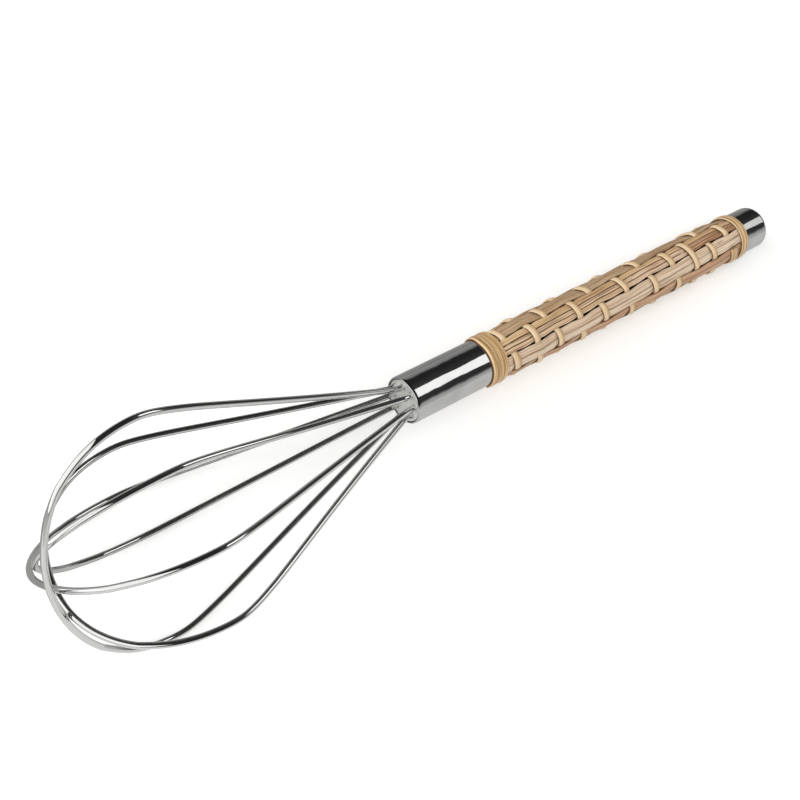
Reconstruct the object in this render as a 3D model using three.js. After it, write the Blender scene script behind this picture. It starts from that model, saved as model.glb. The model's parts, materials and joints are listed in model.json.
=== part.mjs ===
// Balloon whisk: four sprung wire loops set in a polished steel handle with a woven rattan grip.
// Millimetres, +Z up. The whisk lies at rest on a table, with its wire head towards +X.
// It is built along its own axis (mouth of the handle at x = 0) and then laid down on the table.

import * as THREE from 'three';

// Handle tube
const tubeDiameter = 16;
const tubeWall = 0.7;
const handleLength = 174.5;
const mouthRound = 0.5;
const tailRound = 2;
const bareHeadLength = 31.6;
const bareTailLength = 13.9;
const neckDepth = 1;
const shoulderLength = 1;
const capOpening = 10;
const capFlange = 1.2;
const capOverlap = 1.2;

// Gap between pieces that touch
const fit = 0.25;

// Plate and resin that hold the wires
const plateRecess = 0.3;
const plateThickness = 2;
const plateRimWidth = 0.6;
const coreLength = 22;

// Wire loops: the cage's length from the mouth and its width, and each loop's shares of them.
// A loop bellies out to its own width, in a plane turned about the axis and shifted off it, and its apex
// lies a little to one side.
const wireDiameter = 2;
const wireTailLength = 20;
const exitLength = 2;
const exitBendLength = 1.2;
const bellyEaseLength = 9.5;
const legStraightness = 0.68;
const tipFullness = 0.7;
const tipRoundness = 0.45;
const firstExit = -49;
const cageLength = 122.2;
const cageWidth = 76.8;
const loops = [
  { turn: -48.3, reach: 1, belly: 0.7447, width: 1, aside: 0.0313, lift: 0.125, skew: 0.0117 },
  { turn: -14.6, reach: 0.9869, belly: 0.6735, width: 0.6328, aside: -0.0599, lift: -0.0482, skew: 0.0469 },
  { turn: 22, reach: 0.9959, belly: 0.6882, width: 0.9089, aside: -0.0013, lift: -0.0326, skew: -0.0378 },
  { turn: 62, reach: 0.973, belly: 0.6841, width: 0.862, aside: 0.0456, lift: -0.0326, skew: 0.0573 },
];

// Rattan stakes: each is a pair of splints laid side by side along the neck, all turned a little about it
const stakeCount = 9;
const firstStake = -46;
const stakeTwist = 28;
const splintWidth = 2.3;
const splintThickness = 0.5;
const splintSlitWidth = 0.25;
const splintInset = 1.3;

// Cane weaver: over one stake and under the next, but for a few where it keeps to its side of the last one.
// Each turn starts at a share of the woven length, uneven as woven by hand.
const weaverWidth = 2.6;
const weaverThickness = 0.6;
const weaverHeadInset = 7.9;
const weaverTailInset = 7.6;
const weaverHold = 16;
const weaverTurns = [0, 0.095, 0.172, 0.274, 0.366, 0.477, 0.591, 0.7, 0.793, 0.882, 0.97, 1.08];
const weaverFloats = [72, 74, 81];

// Cane bindings over both ends of the stakes. Each point of a strip's path lies in from that end of the neck
// by a number of the strip's widths.
const bindingWidth = 2.8;
const bindingThickness = 0.7;
const headBinding = [
  { azimuth: -556, inset: 2.25 },
  { azimuth: -450, inset: 1.55 },
  { azimuth: -270, inset: 1.55 },
  { azimuth: -90, inset: 0.36 },
  { azimuth: 92, inset: 0.36 },
];
const tailBinding = [
  { azimuth: 30, inset: 2.7 },
  { azimuth: 80, inset: 1.65 },
  { azimuth: 180, inset: 0.7 },
  { azimuth: 270, inset: 0.25 },
  { azimuth: 455, inset: 0.25 },
];

// Cane section: the share of its thickness at the edges, and the share of its width that is level on top
const caneEdge = 0.6;
const caneCrown = 0.5;

// Facets
const roundSides = 36;
const wireSides = 10;
const wireSteps = 96;
const holeSides = 12;
const roundSteps = 3;
const bindingSteps = 24;

// Laying the whisk down: the side that faces the table at first, and how finely the rest is found
const tableAzimuth = 150;
const restRounds = 8;
const restSteps = 256;

// Finishes: colour, roughness, metalness
const polishedSteel = [0xb9bcbd, 0.12, 1];
const springSteel = [0xa9abac, 0.18, 1];
const satinSteel = [0x8d8d8b, 0.4, 1];
const castResin = [0x4c4a44, 0.7, 0];
const rattanBrown = [0xc9a77a, 0.55, 0];
const rattanPale = [0xd3b78e, 0.55, 0];
const weaverCane = [0xdcc09a, 0.5, 0];
const bindingCane = [0xc9a169, 0.4, 0];

const degrees = THREE.MathUtils.degToRad;

// Sizes that follow from those above
const tubeRadius = tubeDiameter / 2;
const boreRadius = tubeRadius - tubeWall;
const neckRadius = tubeRadius - neckDepth;
const wireRadius = wireDiameter / 2;
const plugRadius = boreRadius - fit;
const holeRadius = wireRadius + fit;
const exitRadius = plugRadius - plateRimWidth - holeRadius;
const capRadius = capOpening / 2;
const neckStart = bareHeadLength;
const neckEnd = handleLength - bareTailLength;
const weaverStart = neckStart + weaverHeadInset;
const weaverEnd = neckEnd - weaverTailInset;
const headKnots = headBinding.map(
  ({ azimuth, inset }) => ({ azimuth, distance: neckStart + inset * bindingWidth }),
);
const tailKnots = tailBinding.map(
  ({ azimuth, inset }) => ({ azimuth, distance: neckEnd - inset * bindingWidth }),
);
const heldFrom = headKnots[1].distance + bindingWidth / 2;
const heldTo = tailKnots[2].distance - bindingWidth / 2;
const stakeStep = 360 / stakeCount;
const splintLow = neckRadius + fit;
const weaverChord = Math.cos(degrees(weaverHold / 2));
const weaverLow = (neckRadius + fit) / weaverChord;
const weaverHigh = (splintLow + splintThickness + fit) / weaverChord;
const splintHigh = weaverLow + weaverThickness + fit;
const bindingRadius = (tubeRadius + fit) / Math.cos(Math.PI / bindingSteps);

// A point at a distance from the mouth towards the head, at an azimuth (0 is up, 90 is +Y) and a radius.
function polar(x, azimuth, radius) {
  const angle = degrees(azimuth);
  return new THREE.Vector3(x, radius * Math.sin(angle), radius * Math.cos(angle));
}

function material(color, roughness, metalness) {
  return new THREE.MeshStandardMaterial({ color, roughness, metalness });
}

function mesh(name, geometry, finish) {
  const piece = new THREE.Mesh(geometry, finish);
  piece.name = name;
  return piece;
}

// Points of a quarter round about a centre, from one angle to another in degrees, in (radius, x).
function quarterRound(centre, radius, from, to) {
  const points = [];
  for (let i = 0; i <= roundSteps; i += 1) {
    const angle = degrees(from + ((to - from) * i) / roundSteps);
    points.push(new THREE.Vector2(centre.x + radius * Math.cos(angle), centre.y + radius * Math.sin(angle)));
  }
  return points;
}

// A body turned about the whisk's axis from a closed (radius, x) outline.
function turned(outline) {
  const closed = outline[0].x === 0 ? outline : [...outline, outline[0]];
  return new THREE.LatheGeometry(closed, roundSides).rotateZ(-Math.PI / 2);
}

// The pipe: rounded closed-in tail, shallow neck for the grip, mouth edge drawn in.
function handleTube() {
  const tail = -handleLength;
  const at = (radius, x) => new THREE.Vector2(radius, x);
  const tailCentre = at(tubeRadius - tailRound, tail + tailRound);
  const mouthCentre = at(tubeRadius - mouthRound, -mouthRound);
  const neckBore = neckRadius - tubeWall;
  return turned([
    at(capRadius, tail),
    ...quarterRound(tailCentre, tailRound, -90, 0),
    at(tubeRadius, -neckEnd),
    at(neckRadius, -neckEnd + shoulderLength),
    at(neckRadius, -neckStart - shoulderLength),
    at(tubeRadius, -neckStart),
    ...quarterRound(mouthCentre, mouthRound, 0, 90),
    at(boreRadius, 0),
    at(boreRadius, -neckStart),
    at(neckBore, -neckStart - shoulderLength),
    at(neckBore, -neckEnd + shoulderLength),
    at(boreRadius, -neckEnd),
    ...quarterRound(tailCentre, tailRound - tubeWall, 0, -90),
    at(capRadius, tail + tubeWall),
  ]);
}

// The plug that closes the tail: a disc flush with the end, on a flange held inside the tube.
function tailCap() {
  const tail = -handleLength;
  const disc = capRadius - fit;
  const flange = capRadius + capOverlap;
  const seat = tail + tubeWall + fit;
  return turned([
    new THREE.Vector2(0, tail),
    new THREE.Vector2(disc, tail),
    new THREE.Vector2(disc, seat),
    new THREE.Vector2(flange, seat),
    new THREE.Vector2(flange, seat + capFlange),
    new THREE.Vector2(0, seat + capFlange),
  ]);
}

function exitAzimuth(index) {
  return firstExit + (180 / loops.length) * index;
}

function circlePoints(x, y, radius, sides) {
  const points = [];
  for (let i = 0; i < sides; i += 1) {
    const angle = (2 * Math.PI * i) / sides;
    points.push(new THREE.Vector2(x + radius * Math.cos(angle), y + radius * Math.sin(angle)));
  }
  return points;
}

// A round plug in the bore, drilled for both ends of every wire. Its front face is at frontX.
function drilledPlug(frontX, length) {
  const disc = new THREE.Shape(circlePoints(0, 0, plugRadius, roundSides));
  for (let i = 0; i < loops.length * 2; i += 1) {
    const centre = polar(0, exitAzimuth(i), exitRadius);
    disc.holes.push(new THREE.Path(circlePoints(-centre.z, centre.y, holeRadius, holeSides)));
  }
  const options = { depth: length, bevelEnabled: false };
  return new THREE.ExtrudeGeometry(disc, options).rotateY(Math.PI / 2).translate(frontX - length, 0, 0);
}

// One end of a loop, from its tail in the resin to its belly, and on round to the apex.
function halfLoop(loop, index, side) {
  const along = new THREE.Vector3(1, 0, 0);
  const shift = new THREE.Vector3(0, loop.aside * cageWidth, loop.lift * cageWidth);
  const across = polar(0, loop.turn, (side * loop.width * cageWidth) / 2);
  const drift = polar(0, loop.turn, loop.skew * cageWidth);
  const belly = along.clone().multiplyScalar(loop.belly * cageLength).add(across).add(shift);
  const apex = along.clone().multiplyScalar(loop.reach * cageLength).add(shift).add(drift);
  const exit = polar(exitLength, exitAzimuth(index), side * exitRadius);
  const tail = polar(-plateRecess - plateThickness - wireTailLength, exitAzimuth(index), side * exitRadius);
  const lean = belly.clone().sub(exit);
  const bendStart = exit.clone().addScaledVector(along, -exitBendLength);
  const bendEnd = exit.clone().addScaledVector(lean.clone().normalize(), exitBendLength);
  const legPull = exit.clone().addScaledVector(lean, legStraightness);
  const bellyPull = belly.clone().addScaledVector(along, -bellyEaseLength);
  const tipPull = belly.clone().addScaledVector(along, tipFullness * (loop.reach - loop.belly) * cageLength);
  const apexPull = apex.clone().addScaledVector(across.clone().sub(drift), tipRoundness);
  return [
    new THREE.LineCurve3(tail, bendStart),
    new THREE.QuadraticBezierCurve3(bendStart, exit, bendEnd),
    new THREE.CubicBezierCurve3(bendEnd, legPull, bellyPull, belly),
    new THREE.CubicBezierCurve3(belly, tipPull, apexPull, apex),
  ];
}

function reversed(curve) {
  if (curve.isLineCurve3) {
    return new THREE.LineCurve3(curve.v2, curve.v1);
  }
  if (curve.isQuadraticBezierCurve3) {
    return new THREE.QuadraticBezierCurve3(curve.v2, curve.v1, curve.v0);
  }
  return new THREE.CubicBezierCurve3(curve.v3, curve.v2, curve.v1, curve.v0);
}

function loopPath(loop, index) {
  const path = new THREE.CurvePath();
  path.curves.push(...halfLoop(loop, index, 1));
  path.curves.push(...halfLoop(loop, index, -1).reverse().map(reversed));
  return path;
}

function wireLoop(path) {
  const section = new THREE.Shape(circlePoints(0, 0, wireRadius, wireSides));
  return new THREE.ExtrudeGeometry(section, { steps: wireSteps, extrudePath: path });
}

// Value at a place in a list of evenly spaced values, on a straight line between its neighbours.
function between(values, place) {
  const index = Math.min(Math.max(Math.floor(place), 0), values.length - 2);
  return values[index] + (values[index + 1] - values[index]) * (place - index);
}

// Distance from the mouth of the weaver's crossing number c.
function crossingDistance(c) {
  return weaverStart + between(weaverTurns, c / stakeCount) * (weaverEnd - weaverStart);
}

// Azimuth of a stake at a distance from the mouth. Stake numbers run on from one turn to the next.
function stakeAzimuth(stake, distance) {
  const share = (distance - neckStart) / (neckEnd - neckStart);
  return firstStake + stakeStep * stake - stakeTwist * share;
}

// For every crossing of the weaver, whether it goes over the stake.
function weaverPattern() {
  const pattern = [];
  for (let c = 0; crossingDistance(c) < weaverEnd; c += 1) {
    const before = c === 0 ? false : pattern[c - 1];
    pattern.push(weaverFloats.includes(c) ? before : !before);
  }
  return pattern;
}

// A body through rings of points, each ring in the same order round the section.
function swept(rings) {
  const positions = [];
  const index = [];
  const sides = rings[0].length;
  for (const ring of rings) {
    for (const point of ring) {
      positions.push(point.x, point.y, point.z);
    }
  }
  for (let i = 0; i + 1 < rings.length; i += 1) {
    for (let j = 0; j < sides; j += 1) {
      const a = i * sides + j;
      const b = i * sides + ((j + 1) % sides);
      index.push(a, a + sides, b);
      index.push(b, a + sides, b + sides);
    }
  }
  const last = (rings.length - 1) * sides;
  for (let j = 1; j + 1 < sides; j += 1) {
    index.push(0, j, j + 1);
    index.push(last, last + j + 1, last + j);
  }
  const geometry = new THREE.BufferGeometry();
  geometry.setAttribute('position', new THREE.Float32BufferAttribute(positions, 3));
  geometry.setIndex(index);
  return geometry;
}

// Heights of a splint along the neck: it hugs the neck under the bindings and where the weaver passes over
// it, and rises where the weaver passes under it.
function splintHeights(stake, pattern) {
  const heights = [
    { distance: neckStart + splintInset, radius: splintLow },
    { distance: heldFrom, radius: splintLow },
  ];
  const half = weaverWidth / 2 + fit;
  for (let c = stake; c < pattern.length; c += stakeCount) {
    const radius = pattern[c] ? splintLow : splintHigh;
    const distance = crossingDistance(c);
    heights.push({ distance: distance - half, radius }, { distance: distance + half, radius });
  }
  heights.push({ distance: heldTo, radius: splintLow });
  heights.push({ distance: neckEnd - splintInset, radius: splintLow });
  return heights;
}

function splint(stake, side, pattern) {
  const aside = (side * (splintWidth + splintSlitWidth)) / 2;
  const edges = [aside - splintWidth / 2, aside + splintWidth / 2];
  const corners = [
    { across: edges[0], out: 0 },
    { across: edges[1], out: 0 },
    { across: edges[1], out: splintThickness },
    { across: edges[0], out: splintThickness },
  ];
  const rings = splintHeights(stake, pattern).map(({ distance, radius }) => corners.map(({ across, out }) => {
    const turn = THREE.MathUtils.radToDeg(across / (radius + out));
    return polar(-distance, stakeAzimuth(stake, distance) + turn, radius + out);
  }));
  const name = `splint_${stake + 1}${side < 0 ? 'a' : 'b'}`;
  return mesh(name, swept(rings), material(...(side < 0 ? rattanBrown : rattanPale)));
}

// A strip wound about the axis through stations {distance, azimuth, radius}, with a section given as
// (along the axis, out from the axis) corners in order.
function woundStrip(stations, section) {
  return swept(stations.map((station) => section.map(
    (corner) => polar(-station.distance + corner.x, station.azimuth, station.radius + corner.y),
  )));
}

// Flat underneath, rounded over the top.
function caneSection(width, thickness) {
  const half = width / 2;
  return [
    new THREE.Vector2(-half, 0),
    new THREE.Vector2(half, 0),
    new THREE.Vector2(half, thickness * caneEdge),
    new THREE.Vector2(half * caneCrown, thickness),
    new THREE.Vector2(-half * caneCrown, thickness),
    new THREE.Vector2(-half, thickness * caneEdge),
  ];
}

function weaverStations(pattern) {
  const stations = [];
  pattern.forEach((over, c) => {
    const radius = over ? weaverHigh : weaverLow;
    for (const offset of [-weaverHold, 0, weaverHold]) {
      const distance = crossingDistance(c + offset / stakeStep);
      stations.push({ distance, azimuth: stakeAzimuth(c + offset / stakeStep, distance), radius });
    }
  });
  return stations;
}

function bindingStations(knots) {
  const stations = [];
  for (let i = 0; i + 1 < knots.length; i += 1) {
    const [from, to] = [knots[i], knots[i + 1]];
    const steps = Math.ceil((to.azimuth - from.azimuth) / (360 / bindingSteps));
    for (let j = i === 0 ? 0 : 1; j <= steps; j += 1) {
      stations.push({
        distance: THREE.MathUtils.lerp(from.distance, to.distance, j / steps),
        azimuth: THREE.MathUtils.lerp(from.azimuth, to.azimuth, j / steps),
        radius: bindingRadius,
      });
    }
  }
  return stations;
}

// Least gap of a winding to its own other turns, measured on the points at its edges.
function leastGap(stations, width) {
  const mostOfATurn = 300;
  let least = Infinity;
  for (const near of stations) {
    for (const far of stations) {
      if (far.distance > near.distance && Math.abs(far.azimuth - near.azimuth) > mostOfATurn) {
        const edge = polar(-near.distance - width / 2, near.azimuth, near.radius);
        const facing = polar(-far.distance + width / 2, far.azimuth, far.radius);
        least = Math.min(least, edge.distanceTo(facing));
      }
    }
  }
  return least;
}

// The table touches the lowest wire on each side of the axis, and the tail of the handle.
function layingDown(paths) {
  const wirePoints = paths.flatMap((path) => path.getSpacedPoints(restSteps));
  const bindingTail = tailKnots[tailKnots.length - 1].distance;
  const tailPoints = [];
  for (let i = 0; i < 360; i += 1) {
    tailPoints.push(polar(-handleLength + tailRound, i, tubeRadius - wireRadius));
    tailPoints.push(polar(-bindingTail, i, bindingRadius + bindingThickness - wireRadius));
  }
  const axis = new THREE.Vector3(1, 0, 0);
  const down = polar(0, tableAzimuth, 1);
  const lowest = (points) => points.reduce((a, b) => (b.dot(down) > a.dot(down) ? b : a));
  for (let round = 0; round < restRounds; round += 1) {
    const sideways = new THREE.Vector3().crossVectors(axis, down);
    const left = lowest(wirePoints.filter((point) => point.dot(sideways) < 0));
    const right = lowest(wirePoints.filter((point) => point.dot(sideways) >= 0));
    const tail = lowest(tailPoints);
    const normal = left.clone().sub(tail).cross(right.clone().sub(tail)).normalize();
    down.copy(normal.dot(down) > 0 ? normal : normal.negate());
  }
  const up = down.clone().negate();
  const forward = axis.clone().addScaledVector(up, -axis.dot(up)).normalize();
  const basis = new THREE.Matrix4().makeBasis(forward, new THREE.Vector3().crossVectors(up, forward), up);
  return new THREE.Quaternion().setFromRotationMatrix(basis).invert();
}

const whisk = new THREE.Group();

whisk.add(mesh('handle_tube', handleTube(), material(...polishedSteel)));
whisk.add(mesh('tail_cap', tailCap(), material(...polishedSteel)));
whisk.add(mesh('wire_plate', drilledPlug(-plateRecess, plateThickness), material(...satinSteel)));
const coreFront = -plateRecess - plateThickness - fit;
whisk.add(mesh('wire_core', drilledPlug(coreFront, coreLength), material(...castResin)));

const paths = loops.map(loopPath);
paths.forEach((path, i) => {
  whisk.add(mesh(`wire_loop_${i + 1}`, wireLoop(path), material(...springSteel)));
});

const pattern = weaverPattern();
for (let stake = 0; stake < stakeCount; stake += 1) {
  whisk.add(splint(stake, -1, pattern));
  whisk.add(splint(stake, 1, pattern));
}
const weaverSection = caneSection(weaverWidth, weaverThickness);
whisk.add(mesh('weaver', woundStrip(weaverStations(pattern), weaverSection), material(...weaverCane)));

const bindings = { head_binding: headKnots, tail_binding: tailKnots };
for (const [name, knots] of Object.entries(bindings)) {
  const stations = bindingStations(knots);
  const section = caneSection(bindingWidth, bindingThickness);
  whisk.add(mesh(name, woundStrip(stations, section), material(...bindingCane)));
  console.log(`${name}: least gap to itself ${leastGap(stations, bindingWidth).toFixed(2)} mm`);
}

whisk.quaternion.copy(layingDown(paths));
const object = new THREE.Group();
object.add(whisk);
const box = new THREE.Box3().setFromObject(object, true);
const middle = box.getCenter(new THREE.Vector3());
whisk.position.set(-middle.x, -middle.y, -box.min.z);

export default object;
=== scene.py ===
import json
import math
import random

import bmesh
import bpy
from mathutils import Matrix, Vector


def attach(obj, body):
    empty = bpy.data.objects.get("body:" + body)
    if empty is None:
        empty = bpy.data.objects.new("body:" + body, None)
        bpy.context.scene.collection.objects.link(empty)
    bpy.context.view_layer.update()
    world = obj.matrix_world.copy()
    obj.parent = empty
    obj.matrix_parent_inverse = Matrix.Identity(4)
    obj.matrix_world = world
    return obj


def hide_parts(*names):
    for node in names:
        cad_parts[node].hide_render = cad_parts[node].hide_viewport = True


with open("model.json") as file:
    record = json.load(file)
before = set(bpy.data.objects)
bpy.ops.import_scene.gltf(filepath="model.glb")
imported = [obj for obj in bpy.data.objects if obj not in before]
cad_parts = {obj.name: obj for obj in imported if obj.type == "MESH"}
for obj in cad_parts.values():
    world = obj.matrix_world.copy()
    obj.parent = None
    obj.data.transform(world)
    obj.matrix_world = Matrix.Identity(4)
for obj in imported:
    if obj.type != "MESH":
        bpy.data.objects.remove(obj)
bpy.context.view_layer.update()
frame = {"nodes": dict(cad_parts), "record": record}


# Handle tube: a drawn stainless pipe 16 mm across, mirror polished, that carries every other piece.
# Its mouth and tail edges are rolled round, and it is necked in by 1 mm under the woven grip.
# Its tail mount gives the axis, and every piece is laid out along that axis in millimetres.
MM = 0.001
HANDLE_LENGTH = 174.5
TAIL_SETBACK = 0.01
TUBE_RADIUS = 8.0
TUBE_WALL = 0.7
TUBE_SIDES = 160
TAIL_ROLL = 2.0
LIP_INSET = 0.5
LIP_LENGTH = 1.2
LIP_ROUND = 0.12
NECK_START = 31.6
NECK_END = 160.6
NECK_RADIUS = 7.0
SHOULDER = 1.0
CAP_OPENING = 5.0
ROLL_AS_IT_LIES = 23.770
SHARP_EDGE = 40
WELD_METRES = 1e-7
tail_mount = frame["record"]["mounts"][0]
along = -Vector(tail_mount["axis"]).normalized()
mouth = Vector(tail_mount["pos_m"]) + along * HANDLE_LENGTH * MM
level = Vector((0, 0, 1)).cross(along).normalized()
upright = along.cross(level)
roll = math.radians(ROLL_AS_IT_LIES)
side = level * math.cos(roll) - upright * math.sin(roll)
front = level * math.sin(roll) + upright * math.cos(roll)


def place(x, y, z):
    """A point of the whisk in metres: millimetres from the mouth to the tip, to the side and to the front."""
    return mouth + (along * x + side * y + front * z) * MM


def round_place(x, azimuth, radius):
    """The same, from an azimuth in degrees round the axis (0 faces the front) and a radius in millimetres."""
    angle = math.radians(azimuth)
    return place(x, radius * math.sin(angle), radius * math.cos(angle))


def corner_round(centre, radius, start, end, steps):
    """Points (radius, x) of a rolled edge, from one angle to another in degrees."""
    angles = [math.radians(start + (end - start) * i / steps) for i in range(steps + 1)]
    return [(centre[0] + radius * math.cos(a), centre[1] + radius * math.sin(a)) for a in angles]


def finished_piece(name, verts, faces, material, grain, edge=None):
    """A smooth-shaded piece in the row frame. grain holds its own lengths for the patterns, in metres."""
    mesh = bpy.data.meshes.new(name)
    mesh.from_pydata(verts, [], faces)
    lengths = mesh.attributes.new("grain", "FLOAT_VECTOR", "POINT")
    lengths.data.foreach_set("vector", [c for g in grain for c in g])
    if edge is not None:
        nearness = mesh.attributes.new("edge", "FLOAT", "POINT")
        nearness.data.foreach_set("value", edge)
    shape = bmesh.new()
    shape.from_mesh(mesh)
    bmesh.ops.remove_doubles(shape, verts=shape.verts, dist=WELD_METRES)
    bmesh.ops.recalc_face_normals(shape, faces=shape.faces)
    shape.to_mesh(mesh)
    shape.free()
    for face in mesh.polygons:
        face.use_smooth = True
    mesh.set_sharp_from_angle(angle=math.radians(SHARP_EDGE))
    mesh.materials.append(material)
    piece = bpy.data.objects.new(name, mesh)
    bpy.context.scene.collection.objects.link(piece)
    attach(piece, "root")
    return piece


def turned(name, outline, sides, material):
    """A piece turned about the whisk's axis from a closed outline of (radius, x)."""
    count = len(outline)
    verts, grain, faces = [], [], []
    for i in range(sides):
        azimuth = 360 * i / sides
        for radius, x in outline:
            verts.append(round_place(x, azimuth, radius))
            grain.append((x * MM, radius * math.radians(azimuth) * MM, 0.0))
        ahead = (i + 1) % sides
        for k in range(count):
            after = (k + 1) % count
            faces.append((i * count + k, i * count + after, ahead * count + after, ahead * count + k))
    return finished_piece(name, verts, faces, material, grain)


def linear(hex_colour):
    """A linear RGBA colour from an sRGB hex value."""
    parts = [int(hex_colour[i:i + 2], 16) / 255 for i in (1, 3, 5)]
    return [c / 12.92 if c <= 0.04045 else ((c + 0.055) / 1.055) ** 2.4 for c in parts] + [1.0]


def add_node(tree, kind, settings=None, links=None):
    """Adds a node: settings are its properties or socket values, links its sockets' sources."""
    made = tree.nodes.new("ShaderNode" + kind)
    for name, value in (settings or {}).items():
        if isinstance(name, str) and hasattr(made, name):
            setattr(made, name, value)
        else:
            made.inputs[name].default_value = value
    for name, source in (links or {}).items():
        tree.links.new(source, made.inputs[name])
    return made


def colour_stops(ramp, stops):
    """Sets a colour ramp's stops from {position: hex colour}."""
    places = sorted(stops.items())
    while len(ramp.color_ramp.elements) < len(places):
        ramp.color_ramp.elements.new(0.5)
    for element, (position, colour) in zip(ramp.color_ramp.elements, places):
        element.position = position
        element.color = linear(colour)


# Mirror-polished stainless steel: a wheel leaves long soft waves about 7 mm apart, so reflections wander,
# and a haze of hair-fine polishing lines. Under the grip the neck is painted near-black and dull, painted
# shade so that the gaps between the stakes show dark.
WAVE_SPACING = 7 * MM
POLISH_LINE_WIDTH = 0.25 * MM
POLISH_LINE_LENGTH = 12 * MM
NECK_SHADE_INSET = 0.4 * MM
steel = bpy.data.materials.new("mirror_polished_stainless_steel")
steel.use_nodes = True
tree = steel.node_tree
shader = tree.nodes["Principled BSDF"]
lengths = add_node(tree, "Attribute", {"attribute_name": "grain"})
own_place = add_node(tree, "TexCoord")
waves = add_node(tree, "TexNoise", {"Scale": 1 / WAVE_SPACING, "Detail": 1.0},
                 {"Vector": own_place.outputs["Object"]})
lines_scale = add_node(tree, "Mapping", {"Scale": (1 / POLISH_LINE_WIDTH, 1 / POLISH_LINE_LENGTH, 1)},
                       {"Vector": lengths.outputs["Vector"]})
lines = add_node(tree, "TexNoise", {"Scale": 1.0, "Detail": 2.0}, {"Vector": lines_scale.outputs["Vector"]})
gloss = add_node(tree, "MapRange", {"From Min": 0.3, "From Max": 0.7, "To Min": 0.06, "To Max": 0.1},
                 {"Value": lines.outputs["Fac"]})
tint = add_node(tree, "ValToRGB", {}, {"Fac": waves.outputs["Fac"]})
colour_stops(tint, {0.3: "#a0a09f", 0.7: "#a9a9a8"})
length_share = add_node(tree, "SeparateXYZ", {}, {"Vector": lengths.outputs["Vector"]})
neck_middle = (NECK_START + NECK_END) / 2 * MM
neck_reach = (NECK_END - NECK_START) / 2 * MM - NECK_SHADE_INSET
from_middle = add_node(tree, "Math", {"operation": "ADD", 1: neck_middle}, {0: length_share.outputs["X"]})
off_middle = add_node(tree, "Math", {"operation": "ABSOLUTE"}, {0: from_middle.outputs["Value"]})
in_neck = add_node(tree, "Math", {"operation": "LESS_THAN", 1: neck_reach}, {0: off_middle.outputs["Value"]})
# Painted shade: under the grip the steel is painted near-black, so the gaps between stakes show dark.
tint_and_gap_shade = add_node(tree, "MixRGB", {"Color2": linear("#16110d")},
                     {"Fac": in_neck.outputs["Value"], 1: tint.outputs["Color"]})
dulled = add_node(tree, "Math", {"operation": "MAXIMUM"},
                  {0: in_neck.outputs["Value"], 1: gloss.outputs["Result"]})
dents = add_node(tree, "Bump", {"Strength": 1.0, "Distance": 0.22 * MM}, {"Height": waves.outputs["Fac"]})
tree.links.new(tint_and_gap_shade.outputs["Color"], shader.inputs["Base Color"])
tree.links.new(dulled.outputs["Value"], shader.inputs["Roughness"])
tree.links.new(dents.outputs["Normal"], shader.inputs["Normal"])
shader.inputs["Metallic"].default_value = 1.0

tail = -HANDLE_LENGTH + TAIL_SETBACK
bore = TUBE_RADIUS - TUBE_WALL
neck_bore = NECK_RADIUS - TUBE_WALL
tail_centre = (TUBE_RADIUS - TAIL_ROLL, tail + TAIL_ROLL)
drawn_in_edge = [
    (TUBE_RADIUS - LIP_INSET + LIP_INSET * out, -LIP_LENGTH + LIP_LENGTH * ahead)
    for out, ahead in corner_round((0.0, 0.0), 1.0, 0, 90, steps=10)
]
tube_outline = (
    [(CAP_OPENING, tail)]
    + corner_round(tail_centre, TAIL_ROLL, -90, 0, steps=12)
    + [(TUBE_RADIUS, -NECK_END), (NECK_RADIUS, -NECK_END + SHOULDER)]
    + [(NECK_RADIUS, -NECK_START - SHOULDER), (TUBE_RADIUS, -NECK_START)]
    + drawn_in_edge
    + corner_round((bore + LIP_ROUND, -LIP_ROUND), LIP_ROUND, 90, 180, steps=4)
    + [(bore, -NECK_START), (neck_bore, -NECK_START - SHOULDER)]
    + [(neck_bore, -NECK_END + SHOULDER), (bore, -NECK_END)]
    + corner_round(tail_centre, TAIL_ROLL - TUBE_WALL, 0, -90, steps=8)
    + [(CAP_OPENING, tail + TUBE_WALL)]
)
tube = turned("polished_tube", tube_outline, TUBE_SIDES, steel)
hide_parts("handle_tube")


# Tail cap: a turned steel plug, flush with the tail end and held by its flange inside the tube.
# A fine bevel runs round its face, so the joint shows as a hairline ring.
CAP_FACE = 4.75
CAP_BEVEL = 0.15
CAP_FLANGE = 6.2
CAP_FLANGE_THICKNESS = 1.2
CAP_CLEARANCE = 0.25
CAP_SIDES = 96
cap_seat = tail + TUBE_WALL + CAP_CLEARANCE
cap_back = cap_seat + CAP_FLANGE_THICKNESS
cap_outline = (
    [(0.0, tail), (CAP_FACE - CAP_BEVEL, tail), (CAP_FACE, tail + CAP_BEVEL), (CAP_FACE, cap_seat)]
    + [(CAP_FLANGE, cap_seat), (CAP_FLANGE, cap_back), (0.0, cap_back)]
)
cap = turned("polished_tail_cap", cap_outline, CAP_SIDES, steel)
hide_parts("tail_cap")


# Wire plate: a 2 mm stainless disc pressed into the mouth, drilled with eight holes for the wire ends.
# It is left satin from the press, paler and duller than the tube.
PLATE_SETBACK = 0.3
PLATE_THICKNESS = 2.0
PLATE_BEVEL = 0.08
PLATE_CLEARANCE = 0.25
PLATE_SIDES = 96
EXITS = 8
EXIT_STEP = 360 / EXITS
FIRST_EXIT = -49
EXIT_RADIUS = 5.2
HOLE_RADIUS = 1.03
HOLE_SIDES = 32

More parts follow.
